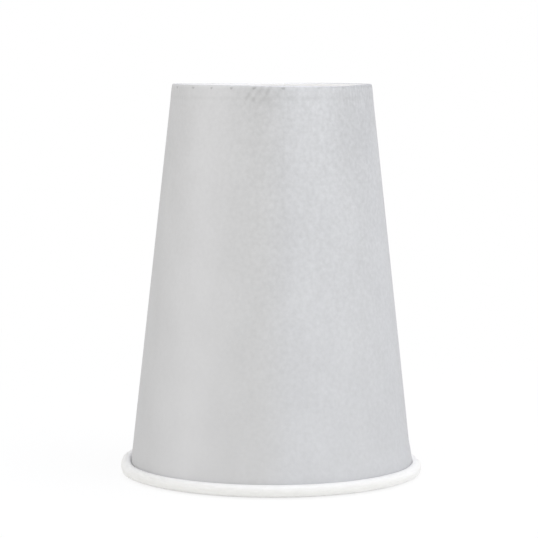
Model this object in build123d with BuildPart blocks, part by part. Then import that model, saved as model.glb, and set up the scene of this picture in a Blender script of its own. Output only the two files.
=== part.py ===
from build123d import *
from math import cos, degrees, radians, sin, tan
import os

# Paper drinking cup, turned over to stand on its rolled rim with the closed foot on top.
# Two pieces of coated board: the wrapped side wall, and the disc sealed inside its foot.
# Millimetres. Z is the axis, the rim rests on Z = 0, and the side seam is at the back, +Y.

# Overall
cup_height = 100.4
rim_diameter = 77.8
taper = 6.3  # lean of the wall from the axis, in degrees

# Boards
board = 0.33
disc_board = 0.28
seal_film = 0.02  # melted coating between two sealed plies

# Rolled rim
curl_height = 3.33
mouth_turn = 1.1  # radius of the white face where the wall turns into the roll
curl_gap = 0.06  # between the roll and the wall it comes back to
white_facets = (2, 8, 2)  # of the turn at the mouth, the roll and its turn back
printed_facets = (1, 3, 1)  # of the same turns on the face inside the roll

# Foot
hem_height = 5.4
recess_depth = 6.6  # from the foot's edge to the disc
skirt_clearance = 0.1  # from the skirt's cut edge to the fold

# Side seam
seam_side = 90  # direction seen from above, in degrees
seam_lap = 7.0
seam_fade = 6.0  # the outer ply settles down onto the wall over this width
pressed_band = 3.2  # ring below the foot's edge where the sealing roller flattens the seam

# Worked out from the sizes above
lean = radians(taper)
curl_radius = curl_height / 2
curl_centre = rim_diameter / 2 - curl_radius
mouth_top = mouth_turn * (1 - sin(lean))
mouth_inside = curl_centre - mouth_turn * cos(lean)

# The roll comes back to the wall in one turn that ends along it, the gap away
return_room = mouth_top + curl_height * sin(lean) - board - curl_gap
return_radius = return_room / (1 + sin(lean))


def inside_radius(height):
    """Radius of the straight wall's white face at a height."""
    return mouth_inside - (height - mouth_top) * tan(lean)


def turn(start, heading, radius, angle, facets):
    """Turns the outline along an arc in equal facets; gives the arc that they follow."""
    arc = JernArc(start, heading, radius, angle, mode=Mode.PRIVATE)
    Polyline(*[arc @ (step / facets) for step in range(facets + 1)])
    return arc


def rolled_end(depth, facets):
    """The rim end of one face of the wall's board, depth below its white face."""
    mouth_steps, roll_steps, back_steps = facets
    rest = (curl_centre, depth)
    mouth = turn(rest, (-1, 0), mouth_turn - depth, taper - 90, mouth_steps)
    roll = turn(rest, (1, 0), curl_radius - depth, 180, roll_steps)
    back = turn(roll @ 1, roll % 1, return_radius - depth, 90 + taper, back_steps)
    return mouth @ 1, back @ 1


def seam_section(height):
    """Section of the seam's outer ply at a height, sunk halfway into the wall."""
    printed = inside_radius(height) + board / cos(lean)
    lap_angle = degrees(seam_lap / printed)
    fade_angle = degrees(seam_fade / printed)
    start = seam_side - lap_angle / 2
    with BuildSketch(Plane.XY.offset(height)) as section:
        with BuildLine():
            outside = CenterArc((0, 0), printed + board, start, lap_angle)
            bed = CenterArc((0, 0), printed - board / 2, start, lap_angle + fade_angle)
            Line(bed @ 0, outside @ 0)
            TangentArc(outside @ 1, bed @ 1, tangent=outside % 1)
        make_face()
    return section.sketch


# Fold of the foot, at the white face: out at the wall, in at the hem, and the hem's cut edge
out = Vector(cos(lean), sin(lean))
up = Vector(0, 1)
fold_top = cup_height - board
hem_drop = hem_height - board
hem_gap = disc_board + 2 * seal_film
fold_outer = Vector(inside_radius(fold_top), fold_top)
fold_inner = fold_outer - Vector(hem_gap / cos(lean), 0)
hem_edge = fold_inner + Vector(hem_drop * tan(lean), -hem_drop)

# Side wall: one sheet wrapped into a cone, rolled out at the rim and folded in at the foot
with BuildPart() as side_wall:
    with BuildSketch(Plane.XZ):
        with BuildLine():
            white_mouth, white_roll = rolled_end(0, white_facets)
            printed_mouth, printed_roll = rolled_end(board, printed_facets)
            Line(white_roll, printed_roll)
            white_fold = Polyline(white_mouth, fold_outer, fold_inner, hem_edge)
            printed_fold = Polyline(
                printed_mouth,
                fold_outer + out * board,
                fold_outer + up * board,
                fold_inner + up * board,
                fold_inner - out * board,
                hem_edge - out * board,
            )
            Line(white_fold @ 1, printed_fold @ 1)
        make_face()
    revolve(axis=Axis.Z)
    # The seam's outer ply, from inside the roll up to the ring that the roller flattens
    seam_mouth = seam_section(curl_height - return_radius)
    seam_foot = seam_section(cup_height - pressed_band)
    loft([seam_mouth, seam_foot], ruled=True)

# Bottom disc: a flat round with its edge turned into the foot, between wall and hem
foot_side = cup_height - recess_depth
drink_side = foot_side - disc_board
skirt_top = fold_top - skirt_clearance
skirt_outer = seal_film / cos(lean)  # in from the wall, measured level
skirt_inner = (seal_film + disc_board) / cos(lean)
with BuildPart() as bottom_disc:
    with BuildSketch(Plane.XZ):
        with BuildLine():
            Polyline(
                (0, drink_side),
                (inside_radius(drink_side) - skirt_outer, drink_side),
                (inside_radius(skirt_top) - skirt_outer, skirt_top),
                (inside_radius(skirt_top) - skirt_inner, skirt_top),
                (inside_radius(foot_side) - skirt_inner, foot_side),
                (0, foot_side),
                close=True,
            )
        make_face()
    revolve(axis=Axis.Z)

os.makedirs("parts", exist_ok=True)
side_wall.part.label = "side_wall"
export_step(side_wall.part, "parts/side_wall.step")
bottom_disc.part.label = "bottom_disc"
export_step(bottom_disc.part, "parts/bottom_disc.step")
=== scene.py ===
import math
from collections import namedtuple

import bpy
import numpy as np
from mathutils import Matrix, Vector


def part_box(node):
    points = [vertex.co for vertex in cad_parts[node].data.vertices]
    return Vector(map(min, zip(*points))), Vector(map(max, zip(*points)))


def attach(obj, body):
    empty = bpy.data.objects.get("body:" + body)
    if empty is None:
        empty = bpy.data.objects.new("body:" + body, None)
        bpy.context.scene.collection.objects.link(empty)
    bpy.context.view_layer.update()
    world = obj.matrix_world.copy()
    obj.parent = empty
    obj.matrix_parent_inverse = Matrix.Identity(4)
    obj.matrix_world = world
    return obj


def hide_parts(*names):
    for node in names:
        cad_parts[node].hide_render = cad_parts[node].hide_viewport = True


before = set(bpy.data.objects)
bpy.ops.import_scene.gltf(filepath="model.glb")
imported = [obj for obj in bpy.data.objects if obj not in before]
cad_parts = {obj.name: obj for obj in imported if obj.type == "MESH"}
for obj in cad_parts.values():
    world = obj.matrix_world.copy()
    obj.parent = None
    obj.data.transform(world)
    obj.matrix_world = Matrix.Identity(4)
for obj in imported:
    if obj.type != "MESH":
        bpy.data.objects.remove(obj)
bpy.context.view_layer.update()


# Side wall. One fan-shaped sheet of board, printed matte silver on the outside and coated
# white on the inside. It is wrapped into a cone and sealed along a lap at the back, rolled
# outward at the mouth and folded in at the foot. Sizes in this section are millimetres.
MM = 0.001
low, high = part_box("side_wall")
cup_height = high.z / MM
rim_radius = high.x / MM
lean = math.radians(6.3)
board = 0.33
curl_radius = 1.665
mouth_radius = 1.1
crevice = 0.06  # between the end of the roll and the wall
tuck_radius = 0.72  # the cut edge turns on into the roll
crease = 0.04
hem_gap = 0.32  # holds the disc's skirt
hem_height = 5.4
heel = 4.4  # band below the foot's edge that the sealing tools shape
flare = 0.28  # at the right, rolling has drawn the wall out by this much just above the roll
flare_full = 3.2  # its widest stretch is from this height
flare_fades = 4.5  # to this one
flare_top = 9.5

tilt = math.degrees(lean)
out = (math.cos(lean), math.sin(lean))
curl_x = rim_radius - curl_radius
mouth_top = mouth_radius * (1 - out[1])
mouth_x = curl_x - mouth_radius * out[0]
back_radius = (mouth_top + 2 * curl_radius * out[1] - board - crevice) / (1 + out[1])
back_z = 2 * curl_radius - back_radius
fold_top = cup_height - board


def wall_x(z):
    """Radius of the wall's white face at a height."""
    return mouth_x - (z - mouth_top) * math.tan(lean)


def turn(x, z, radius, start, end, side):
    """A turn of the sheet's white face; side is +1 where the print is outside the turn."""

    def at(share):
        angle = math.radians(start + (end - start) * share)
        c, s = math.cos(angle), math.sin(angle)
        return x + radius * c, z + radius * s, side * c, side * s

    return at


def straight(start, end, normal):
    """A straight stretch of the white face; normal points through the board to the print."""

    def at(share):
        x = start[0] + (end[0] - start[0]) * share
        z = start[1] + (end[1] - start[1]) * share
        return x, z, normal[0], normal[1]

    return at


def beside(point, distance):
    """The point moved out from the axis, square to the wall."""
    return point[0] + distance * out[0], point[1] + distance * out[1]


back_end = beside((curl_x, back_z), -back_radius)
tuck_centre = beside(back_end, tuck_radius)
fold_out_x = wall_x(fold_top)
fold_in_x = fold_out_x - hem_gap / out[0]
turn_out = (fold_out_x - crease * (1 + out[1]) / out[0], fold_top - crease)
turn_in = (fold_in_x + crease * (1 - out[1]) / out[0], fold_top - crease)
flare_end = (wall_x(flare_top), flare_top)
heel_start = (wall_x(cup_height - heel), cup_height - heel)
hem_drop = hem_height - board
hem_end = (fold_in_x + hem_drop * math.tan(lean), fold_top - hem_drop)
inward = (-out[0], -out[1])

# Stretches of the sheet from the roll's cut edge to the hem's, with the rows of vertices on
# its white and on its print face
stretches = [
    ("tuck", turn(*tuck_centre, tuck_radius, 300, 180 + tilt, -1), 5, 3),
    ("back", turn(curl_x, back_z, back_radius, 180 + tilt, 90, -1), 9, 4),
    ("roll", turn(curl_x, curl_radius, curl_radius, 90, -90, -1), 24, 8),
    ("mouth", turn(curl_x, mouth_radius, mouth_radius, -90, -180 + tilt, -1), 12, 5),
    ("flare", straight((mouth_x, mouth_top), flare_end, out), 10, 10),
    ("wall", straight(flare_end, heel_start, out), 13, 17),
    ("heel", straight(heel_start, beside(turn_out, crease), out), 4, 16),
    ("fold", turn(*turn_out, crease, tilt, 90, 1), 2, 6),
    ("land", straight((turn_out[0], fold_top), (turn_in[0], fold_top), (0, 1)), 1, 2),
    ("fold_in", turn(*turn_in, crease, 90, 180 + tilt, 1), 2, 6),
    ("hem", straight(beside(turn_in, -crease), hem_end, inward), 6, 12),
]
roll_end = ("tuck", "back")
Row = namedtuple("Row", "stretch face share x z nx nz")


def rows_of(face):
    """Rows of one face of the sheet, from the roll's cut edge to the hem's."""
    made = []
    for name, at, white_rows, print_rows in stretches:
        count = white_rows if face == "white" else print_rows
        last = name == stretches[-1][0]
        for step in range(count + last):
            made.append(Row(name, face, step / count, *at(step / count)))
    return made


rows = rows_of("white") + rows_of("print")[::-1]

# Columns: at chosen distances along the lap, then evenly round the rest of the cup
seam_angle = math.radians(90)
seam_lap = 7.0
seam_fade = 6.0  # the outer ply settles down onto the wall over this width
cut_width = 0.12  # a cut edge leans by this much over the board's thickness
pinch_width = 0.08  # groove pressed along the outer ply's cut edge
pinch_depth = 0.15  # of the board
half_lap = seam_lap / 2
near_lap = [-half_lap - d for d in (2.4, 1.6, 1.0, 0.5, 2 * pinch_width, pinch_width, 0)]
near_lap += [cut_width - half_lap, 0.3 - half_lap, -2.4, -1.2, 0, 1.2, 2.4, half_lap - 0.3]
near_lap += [half_lap - cut_width, half_lap, half_lap + 0.12]
near_lap += [half_lap + seam_fade * k / 9 for k in range(1, 11)]
around = 525  # keeps the sheet under 200,000 triangles


def fade(value, start, end):
    """Smooth step from 0 at start to 1 at end."""
    t = np.clip((value - start) / (end - start), 0, 1)
    return t * t * (3 - 2 * t)


lap = np.array(near_lap + [0.0] * (around - 1))
rest = np.array([0.0] * len(near_lap) + [k / around for k in range(1, around)])
at_lap = np.arange(len(lap)) < len(near_lap)
settle = 1 - fade(lap, half_lap, half_lap + seam_fade)
outer_cut = [-half_lap - 2 * pinch_width, -half_lap - pinch_width, -half_lap, cut_width - half_lap]
print_step = np.where(at_lap, settle * np.interp(lap, outer_cut, [0, -pinch_depth, 0, 1]), 0.0)
white_step = np.where(at_lap, settle * np.interp(lap, [half_lap - cut_width, half_lap], [0, 1]), 0.0)

# Dips of the folded edge round the foot, by degrees round the cup: it is a little uneven,
# lowest at the front right
edge_angle = [0, 60, 88, 100, 125, 150, 180, 212, 232]
edge_angle += [245, 262, 285, 300, 318, 330, 350, 360]
edge_drop = [0.06, 0.1, 0.18, 0.24, 0.26, 0.17, 0.08, 0.08, 0.05]
edge_drop += [0.1, 0.22, 0.26, 0.38, 0.4, 0.12, 0.04, 0.06]
drop_start = cup_height - 7.5  # the wall below takes up the dips over this stretch
drop_end = cup_height - 0.4


def foot_drop(theta, height):
    """How far the dips of the folded edge lower the board at a height."""
    dip = np.interp(np.degrees(theta) % 360, edge_angle, edge_drop)
    return dip * fade(height, drop_start, drop_end)


def ripple(theta, waves):
    """A sum of a few waves round the cup, from -1 to 1."""
    total = sum(size * np.sin(count * theta + phase) for count, size, phase in waves)
    return total / sum(size for count, size, phase in waves)


roll_waves = [(5, 1.0, 0.4), (11, 0.7, 2.1), (23, 0.5, 4.0), (41, 0.3, 1.2)]
wall_waves = [(3, 1.0, 1.0), (7, 0.6, 3.3), (13, 0.3, 0.2)]
roll_play = 0.03
wall_play = 0.05
roll_room = 1.05  # the roll's end makes room for the seam's step, and a little more
roll_rise = 0.9  # the roll stands taller at the rear left, where it is loose
rise_top = 1.5  # up to this height it takes up the rise
sole_lift = 0.26  # at the front the roll's underside clears the table by this much
front_reach = 1.6  # the more, the wider the front that has the whole of that lift
roll_press = 0.5  # elsewhere its groove at the wall is pressed shallower by this share
right_press = 0.25  # and by this much more at the right
heel_bulge = 0.05
pressed_step = 0.3  # share of the seam's step that the sealing roller leaves in the foot
disc_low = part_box("bottom_disc")[0].z / MM


def looseness(theta):
    """1 at the rear left of the roll and 0 round the rest."""
    angle = np.degrees(theta) % 360
    return fade(angle, 97, 125) * (1 - fade(angle, 172, 194))


def pulled_out(theta):
    """How far the wall is drawn out at its flare."""
    return flare * fade(np.cos(theta), 0.35, 0.9)


def seam_reach(row):
    """How much of the seam's step shows on the print and on the white face of a row."""
    if row.stretch in ("mouth", "roll", "flare"):
        return 1.0, 1.0
    if row.stretch == "wall":
        return 1.0, float(1 - fade(row.z, disc_low - 2.4, disc_low - 0.6))
    if row.stretch == "heel":
        return 1 - (1 - pressed_step) * float(fade(row.share, 0.1, 0.45)), 0.0
    if row.stretch == "back":
        shown = float(fade(row.share, 0.5, 1.0))
        return shown, shown
    return (0.0, 0.0) if row.stretch == "tuck" else (pressed_step, 0.0)


def roll_lift(row, theta):
    """How far the unevenness of the roll raises one of its rows."""
    loose = looseness(theta)
    raised = loose * roll_rise * fade(row.z, 0, rise_top) * (row.stretch != "mouth")
    at_front = np.clip(-front_reach * np.sin(theta), 0, 1)
    raised = raised + at_front * sole_lift * (1 - fade(row.z, 0, mouth_top))
    if row.stretch in roll_end:
        below_top = 2 * curl_radius - max(row.z, back_end[1])
        press = roll_press + right_press * fade(np.cos(theta), 0.3, 0.85)
        raised = raised + press * (1 - loose) * below_top
    return raised


def row_points(row):
    """One ring of the sheet, with its lap, its uneven edges and its slight waves."""
    on_print = row.face == "print"
    on_print_step, on_white_step = seam_reach(row)
    if on_print:
        depth = board * (1 + print_step * on_print_step)
    else:
        depth = board * white_step * on_white_step
    radius = row.x + row.nx * depth
    height = row.z + row.nz * depth
    shoved = 0.0
    if row.stretch in roll_end:
        shoved = 1.0 if row.stretch == "tuck" else float(1 - fade(row.share, 0.0, 1.0))
        radius = radius + shoved * board * print_step * roll_room
    span = (near_lap[-1] - near_lap[0]) / radius
    beyond = seam_angle + near_lap[-1] / radius + rest * (2 * np.pi - span)
    theta = np.where(at_lap, seam_angle + lap / radius, beyond)
    radius = radius + shoved * pulled_out(theta)
    height = np.minimum(height, cup_height) - foot_drop(theta, height)
    if row.stretch == "heel" and on_print:
        radius = radius + heel_bulge * fade(row.share, 0.15, 0.4) * (1 - fade(row.share, 0.8, 1.0))
    if row.stretch in roll_end + ("roll", "mouth"):
        play = roll_play * (0.5 + 0.5 * ripple(theta, roll_waves))
        radius = radius - play * fade(row.x, curl_x - 1.0, rim_radius)
        raised = roll_lift(row, theta)
        if row.stretch in roll_end:
            radius = radius - raised * math.tan(lean)
        height = height + raised
    if row.stretch == "flare":
        near_roll = fade(row.z, mouth_top, flare_full) * (1 - fade(row.z, flare_fades, flare_top))
        radius = radius + pulled_out(theta) * near_roll
    if row.stretch == "wall":
        radius = radius + wall_play * ripple(theta, wall_waves) * math.sin(math.pi * row.share)
    return np.stack([radius * np.cos(theta), radius * np.sin(theta), height], axis=1)


WHITE, SILVER, RAW = 0, 1, 2
silver_stretches = ("mouth", "flare", "wall", "heel", "fold", "land")
columns = len(lap)
points = np.concatenate([row_points(row) for row in rows]) * MM
faces = []
finishes = []
for i, row in enumerate(rows):
    j = (i + 1) % len(rows)
    on_print = row.face == "print"
    cut = near_lap.index(-half_lap if on_print else half_lap - cut_width)
    over_fold = row.stretch == "fold_in" and row.share < 0.6  # the ink ends just over the fold
    inked = on_print and (row.stretch in silver_stretches or over_fold)
    plain = SILVER if inked else WHITE
    for k in range(columns):
        m = (k + 1) % columns
        faces.append((i * columns + m, i * columns + k, j * columns + k, j * columns + m))
        raw_edge = row.face != rows[j].face or k == cut
        finishes.append(RAW if raw_edge else plain)


def sheet_object(name, points, faces):
    """A smooth-shaded object of a sheet of board, kept sharp at its cut edges."""
    mesh = bpy.data.meshes.new(name)
    mesh.from_pydata(points.tolist(), [], faces)
    mesh.validate()
    mesh.update()
    mesh.shade_smooth()
    mesh.set_sharp_from_angle(angle=math.radians(40))
    made = bpy.data.objects.new(name, mesh)
    bpy.context.scene.collection.objects.link(made)
    return made


wall = sheet_object("side_wall_sheet", points, faces)
wall.data.polygons.foreach_set("material_index", finishes)


class Shade:
    """A socket of a material's nodes that takes part in plain arithmetic."""

    def __init__(self, tree, socket=None):
        self.tree = tree
        self.socket = socket

    def node(self, kind, settings, inputs, output=0):
        made = self.tree.nodes.new(kind)
        for name, value in settings.items():
            setattr(made, name, value)
        for name, value in inputs.items():
            if isinstance(value, Shade):
                self.tree.links.new(value.socket, made.inputs[name])
            else:
                made.inputs[name].default_value = value
        return Shade(self.tree, made.outputs[output])

    def other(self, output):
        """Another output of the same node."""
        return Shade(self.tree, self.socket.node.outputs[output])

    def math(self, operation, *values):
        return self.node("ShaderNodeMath", {"operation": operation}, dict(enumerate(values)))

    def __add__(self, other):
        return self.math("ADD", self, other)

    def __radd__(self, other):
        return self.math("ADD", other, self)

    def __sub__(self, other):
        return self.math("SUBTRACT", self, other)

    def __rsub__(self, other):
        return self.math("SUBTRACT", other, self)

    def __mul__(self, other):
        return self.math("MULTIPLY", self, other)

    def __rmul__(self, other):
        return self.math("MULTIPLY", other, self)


def new_material(name):
    """A material, its principled shader, and a Shade to make nodes with."""
    material = bpy.data.materials.new(name)
    material.use_nodes = True
    tree = material.node_tree
    return material, tree.nodes["Principled BSDF"], Shade(tree)


def feed(target, socket, value):
    """Links a Shade into a socket of the shader."""
    value.tree.links.new(value.socket, target.inputs[socket])


def ramp(value, start, end):
    """Smooth shader step from 0 at start to 1 at end."""
    return value.node(
        "ShaderNodeMapRange",
        {"interpolation_type": "SMOOTHSTEP"},
        {"Value": value, "From Min": start, "From Max": end},
    )


def noise(place, scale, detail, stretch=(1, 1, 1)):
    """Noise from 0 to 1 over a place in millimetres, its grains 1 / scale across."""
    stretched = place.node("ShaderNodeVectorMath", {"operation": "MULTIPLY"}, {0: place, 1: stretch})
    return place.node(
        "ShaderNodeTexNoise",
        {"noise_dimensions": "3D"},
        {"Vector": stretched, "Scale": scale, "Detail": detail, "Roughness": 0.55},
    )


def place_in_mm(shade):
    place = shade.node("ShaderNodeTexCoord", {}, {}, "Object")
    return shade.node("ShaderNodeVectorMath", {"operation": "SCALE"}, {0: place, "Scale": 1 / MM})


def places_on_cup(shade):
    """The place in millimetres, its x and z, and the angle round the cup in radians."""
    place = place_in_mm(shade)
    x = shade.node("ShaderNodeSeparateXYZ", {}, {0: place})
    return place, x, x.other("Z"), shade.math("ARCTAN2", x.other("Y"), x)


def tinted(grey, red, green, blue):
    """A grey Shade as a colour, its channels scaled."""
    return grey.node("ShaderNodeCombineColor", {}, {0: grey * red, 1: grey * green, 2: grey * blue})


relief_depth = 0.2 * MM


def relief(shader, height, strength):
    """Bumps the shader's surface by a height from about 0 to 1."""
    inputs = {"Strength": strength, "Distance": relief_depth, "Height": height}
    feed(shader, "Normal", height.node("ShaderNodeBump", {}, inputs))


# Matte silver print. The ink is a little mottled, more on the right and towards the foot. The
# fold at the left is painted lighter, a painted highlight, and the fold at the right darker, a
# painted shade. A darker upright band at the upper right is painted shade between the lamps'
# sheens, and the right half is tinted a little blue, a painted reflection of the cool lamps.
# The roller that sealed the foot has left a ring of dents and a line in its heel, slanting
# strokes where it slipped, and faint pleats at the sides.
silver, shader, shade = new_material("silver_print")
place, x, z, theta = places_on_cup(shade)
below_edge = cup_height - z
mottle = noise(place, 0.95, 2.0) - 0.5
drift = noise(place, 0.11, 1.5, (1, 1, 0.6)) - 0.5
fibre = noise(place, 2.6, 3.0) - 0.5
uneven = (0.43 + 0.57 * ramp(x, -18, 6)) * (0.54 + z * 0.0068)
# Painted highlight: the fold at the left is lighter, where light from above catches its rounded edge.
painted_fold_highlight = (1 - ramp(below_edge, 0.4, 1.0)) * (1 - ramp(x, 2, 14))
# Painted shade: a darker line along the fold at the right.
painted_fold_shade = (1 - ramp(below_edge, 0.5, 1.2)) * ramp(x, 8, 15)
heel_line = ramp(below_edge, 2.6, 3.2) * (1 - ramp(below_edge, 3.4, 4.2))
# Painted shade: a darker upright band at the upper right, between the lamps' sheens.
painted_dark_band = ramp(x, 12, 19) * (1 - ramp(x, 24, 28)) * ramp(z, 66, 90)
# Painted reflection: the right half is tinted a little blue, as the cool lamps' light reflects off it.
painted_cool_sheen = ramp(x, -4, 6) * 0.018

dents_round = 23
uneven_step = shade.math("SINE", theta * 4.0 - 1.292) * 0.0636
dent_cell = shade.math("FRACT", (theta - uneven_step) * (dents_round / math.tau) + 0.679)
from_dent = shade.math("ABSOLUTE", dent_cell - 0.5) + (noise(place, 1.5, 1.0) - 0.5) * 0.1
pointed = from_dent + (below_edge - 0.7) * 0.08
dent_height = ramp(below_edge, 0.55, 0.8) * (1 - ramp(below_edge, 1.0, 1.35))
dent = (1 - ramp(pointed, 0.04, 0.1)) * dent_height * (1 - ramp(x, 5, 11) * 0.7)

strokes_round = 78
slip_place = (-3.4, -25.3, 98.4)
slip = shade.node("ShaderNodeVectorMath", {"operation": "DISTANCE"}, {0: place, 1: slip_place}, "Value")
stroke = 0.5 + 0.5 * shade.math("SINE", theta * strokes_round - z * 1.92 + 2.66)
stroke = stroke * (1 - ramp(slip, 1.6, 4.8)) * (0.35 + 0.65 * ramp(noise(place, 0.55, 1.0), 0.36, 0.66))
scuff = 1 - ramp(slip, 3.0, 10.0)

pleats_round = 140
pleat = shade.math("SINE", theta * pleats_round) * ramp(shade.math("ABSOLUTE", x + 3.0), 17, 22)
pleat = pleat * (1 - ramp(below_edge, 4.0, 7.0))

silver_grey = 0.624
# The grey takes in the painted highlight and painted shade of the fold, and the painted dark band.
grey = silver_grey + mottle * uneven * 0.175 + drift * 0.06 + painted_fold_highlight * 0.03
grey = grey - painted_dark_band * 0.028 - painted_fold_shade * 0.05 - dent * 0.15 - stroke * 0.085
grey = grey - scuff * 0.018 - heel_line * 0.012 + pleat * 0.016
# The tint adds the painted blue reflection on the right.
feed(shader, "Base Color", tinted(grey, 1 - painted_cool_sheen * 0.4, 1.0, 1.012 + painted_cool_sheen))
feed(shader, "Roughness", 0.58 + mottle * 0.16)
relief(shader, fibre * 0.5 + mottle * 0.25 - dent * 1.2 - stroke * 0.4, 0.14)
shader.inputs["Metallic"].default_value = 0.4
shader.inputs["Specular IOR Level"].default_value = 0.12
shader.inputs["Specular Tint"].default_value = (0.55, 0.55, 0.55, 1)

# White coated face of the board. Rolling has stretched it into fine streaks round the rim, and
# the hem carries the ribs of the sealing roller. The hem is also painted lighter, painted light
# against the shade of the recess it sits in.
white, shader, shade = new_material("white_coat")
place, x, z, theta = places_on_cup(shade)
soft = noise(place, 0.35, 2.0) - 0.5
strand = noise(place, 2.2, 2.5) - 0.5
streak = noise(place, 1.2, 2.5, (0.35, 0.35, 2.2)) - 0.5
at_rim = 1 - ramp(z, 3.0, 4.0)
at_hem = ramp(z, cup_height - hem_height, cup_height - hem_height + 0.6)
ribs_round = 180
rib = 0.5 + 0.5 * shade.math("SINE", theta * ribs_round + z * 1.2)
white_grey = 0.86
# at_hem * 0.1 is painted light: it lifts the hem against the shade of its recess.
grey = white_grey + at_rim * 0.02 + at_hem * 0.1 + soft * 0.03 + strand * 0.04 + streak * at_rim * 0.12
feed(shader, "Base Color", tinted(grey, 1.0, 0.995, 0.99))
relief(shader, strand * 0.8 + streak * at_rim * 2.4 + rib * at_hem * 0.5, 0.22)
shader.inputs["Roughness"].default_value = 0.38

# Cut edges, bare board
raw, shader, shade = new_material("cut_board")
strand = noise(place_in_mm(shade), 4.0, 3.0) - 0.5
feed(shader, "Base Color", tinted(0.76 + strand * 0.16, 1.0, 0.98, 0.93))
shader.inputs["Roughness"].default_value = 0.85

for finish in (white, silver, raw):
    wall.data.materials.append(finish)
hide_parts("side_wall")
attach(wall, "root")


# Bottom disc. A round of white coated board whose edge is turned into the foot and sealed
# between the wall and the hem. It is drawn up a little at the middle by the sealing.
low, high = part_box("bottom_disc")
disc_board = 0.28
film = 0.02  # melted coating between two plies
drink_side = low.z / MM
skirt_end = high.z / MM
bend = 0.55
inner_bend = bend - disc_board
lift = 0.12  # of its middle
flat_play = 0.03  # unevenness of its flat, at the rim
disc_edge = 26.0
flat_x = wall_x(drink_side) - film / out[0] - bend * 0.9
bend_z = drink_side + bend
skirt_start = drink_side + bend * 1.1
skirt_inner_end = drink_side + disc_board + bend * 0.6

# Rows as radius, height and whether the row lies in the sealed skirt
disc_rows = [(flat_x * k / 14, drink_side, False) for k in range(14)]
for k in range(7):
    angle = math.radians(-90 + (90 + tilt) * k / 6)
    disc_rows.append((flat_x + bend * math.cos(angle), bend_z + bend * math.sin(angle), False))
for k in range(1, 9):
    height = skirt_start + (skirt_end - skirt_start) * k / 8
    disc_rows.append((wall_x(height) - film / out[0], height, True))
for k in range(9):
    height = skirt_end - (skirt_end - skirt_inner_end) * k / 8
    disc_rows.append((wall_x(height) - (film + disc_board) / out[0], height, True))
for k in range(1, 5):
    angle = math.radians(tilt - (90 + tilt) * k / 4)
    radius = flat_x + inner_bend * math.cos(angle)
    disc_rows.append((radius, bend_z + inner_bend * math.sin(angle), False))
disc_rows += [(flat_x * (14 - k) / 14, drink_side + disc_board, False) for k in range(1, 15)]

disc_columns = 300
spin = np.linspace(0, 2 * np.pi, disc_columns, endpoint=False)


def disc_ring(radius, height, sealed):
    """One ring of the disc: domed a little, or following the foot's uneven edge in the skirt."""
    if sealed:
        level = height - foot_drop(spin, height)
    else:
        waves = flat_play * ripple(spin, wall_waves) * (radius / disc_edge)
        dome = lift * (1 - fade(radius, 4.0, 24.0)) + waves
        level = height + np.maximum(dome, 0)
    return np.stack([radius * np.cos(spin), radius * np.sin(spin), level + 0 * spin], axis=1)


rings = [disc_ring(*row) for row in disc_rows]
points = np.concatenate(rings[1:-1] + [rings[0][:1], rings[-1][:1]]) * MM
ring_count = len(rings) - 2
last_ring = (ring_count - 1) * disc_columns
drink_centre = ring_count * disc_columns
foot_centre = drink_centre + 1
faces = []
for k in range(disc_columns):
    m = (k + 1) % disc_columns
    faces.append((drink_centre, m, k))
    faces.append((foot_centre, last_ring + k, last_ring + m))
    for start in range(0, last_ring, disc_columns):
        end = start + disc_columns
        faces.append((start + k, start + m, end + m, end + k))
disc = sheet_object("bottom_disc_round", points, faces)
disc.data.materials.append(white)
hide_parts("bottom_disc")
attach(disc, "root")


# Studio. A white sweep that keeps a faint shadow under the rim, soft lamps round the cup,
# and the camera a little above the foot.
def background_rays(shade):
    """1 for the rays that see the white background, also through gloss, and 0 for the rest."""
    camera_ray = shade.node("ShaderNodeLightPath", {}, {}, "Is Camera Ray")
    glossy_ray = camera_ray.other("Is Glossy Ray")
    transmission_ray = camera_ray.other("Is Transmission Ray")
    return shade.math("MAXIMUM", camera_ray + glossy_ray, transmission_ray)


floor_material = bpy.data.materials.new("studio_floor")
floor_material.use_nodes = True
tree = floor_material.node_tree
tree.nodes.remove(tree.nodes["Principled BSDF"])
shade = Shade(tree)
distance = shade.node("ShaderNodeVectorMath", {"operation": "LENGTH"}, {0: place_in_mm(shade)}, "Value")
paper = shade.node("ShaderNodeBsdfDiffuse", {}, {"Color": (0.94, 0.94, 0.92, 1)})
seen_paper = shade.node("ShaderNodeBsdfDiffuse", {}, {"Color": (1, 1, 1, 1)})
glow = shade.node("ShaderNodeEmission", {}, {"Color": (1, 1, 1, 1), "Strength": 1.0})
white_share = 0.86 + ramp(distance, 60, 320) * 0.14
seen_floor = shade.node("ShaderNodeMixShader", {}, {0: white_share, 1: seen_paper, 2: glow})
whole = shade.node("ShaderNodeMixShader", {}, {0: background_rays(shade), 1: paper, 2: seen_floor})
tree.links.new(whole.socket, tree.nodes["Material Output"].inputs["Surface"])
reach = 12.0
mesh = bpy.data.meshes.new("studio_floor")
corners = [(-reach, -reach, 0), (reach, -reach, 0), (reach, reach, 0), (-reach, reach, 0)]
mesh.from_pydata(corners, [], [(0, 1, 2, 3)])
mesh.materials.append(floor_material)
floor = bpy.data.objects.new("studio_floor", mesh)
bpy.context.scene.collection.objects.link(floor)

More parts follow.
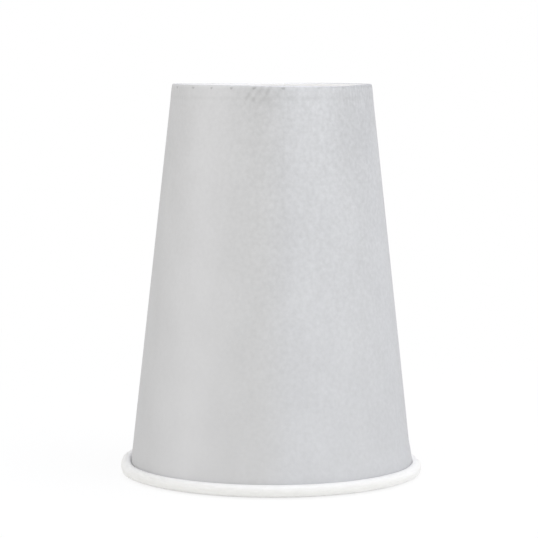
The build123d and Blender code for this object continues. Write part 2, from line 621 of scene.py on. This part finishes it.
world = bpy.data.worlds.new("studio")
bpy.context.scene.world = world
world.use_nodes = True
background = world.node_tree.nodes["Background"]
room_light = 0.58
room_colour = (room_light, room_light * 0.99, room_light * 0.88, 1)
seen = background_rays(Shade(world.node_tree))
room_mix = {"Factor": seen, 6: room_colour, 7: (1, 1, 1, 1)}
feed(background, "Color", seen.node("ShaderNodeMix", {"data_type": "RGBA"}, room_mix, 2))

middle = Vector((0, 0, 0.05))


def lamp(name, azimuth, distance, height, width, depth, power, colour):
    """A soft rectangular lamp facing the cup, azimuth degrees round it from the camera."""
    light = bpy.data.lights.new(name, "AREA")
    light.shape = "RECTANGLE"
    light.size = width
    light.size_y = depth
    light.energy = power
    light.color = colour
    made = bpy.data.objects.new(name, light)
    bpy.context.scene.collection.objects.link(made)
    angle = math.radians(azimuth)
    made.location = (distance * math.sin(angle), -distance * math.cos(angle), height)
    made.rotation_euler = (middle - made.location).to_track_quat("-Z", "Y").to_euler()


lamp("left_lamp", -70, 0.8, 0.22, 0.5, 0.7, 1.3, (0.98, 0.96, 1.0))
lamp("right_lamp", 44, 0.8, 0.22, 0.8, 0.7, 1.33, (0.93, 0.95, 1.0))
lamp("back_lamp", 120, 0.8, 0.22, 0.5, 0.7, 0.64, (0.88, 0.9, 1.0))
lamp("top_lamp", 0, 0.0, 1.0, 0.8, 0.8, 3.9, (0.76, 0.79, 1.0))
lamp("high_right_lamp", 70, 0.5, 0.9, 0.6, 0.6, 1.9, (0.93, 0.94, 1.0))

camera_place = (-0.00066, -0.5975, 0.1078)
camera_dip = 5.262  # degrees below level
camera_roll = 0.128
lens = bpy.data.cameras.new("photo_camera")
lens.lens = 155.9
lens.sensor_width = 36
lens.clip_start = 0.05
camera = bpy.data.objects.new("photo_camera", lens)
bpy.context.scene.collection.objects.link(camera)
camera.matrix_world = (
    Matrix.Translation(camera_place)
    @ Matrix.Rotation(math.radians(90 - camera_dip), 4, "X")
    @ Matrix.Rotation(math.radians(camera_roll), 4, "Z")
)
bpy.context.scene.camera = camera
bpy.context.scene.view_settings.view_transform = "Standard"
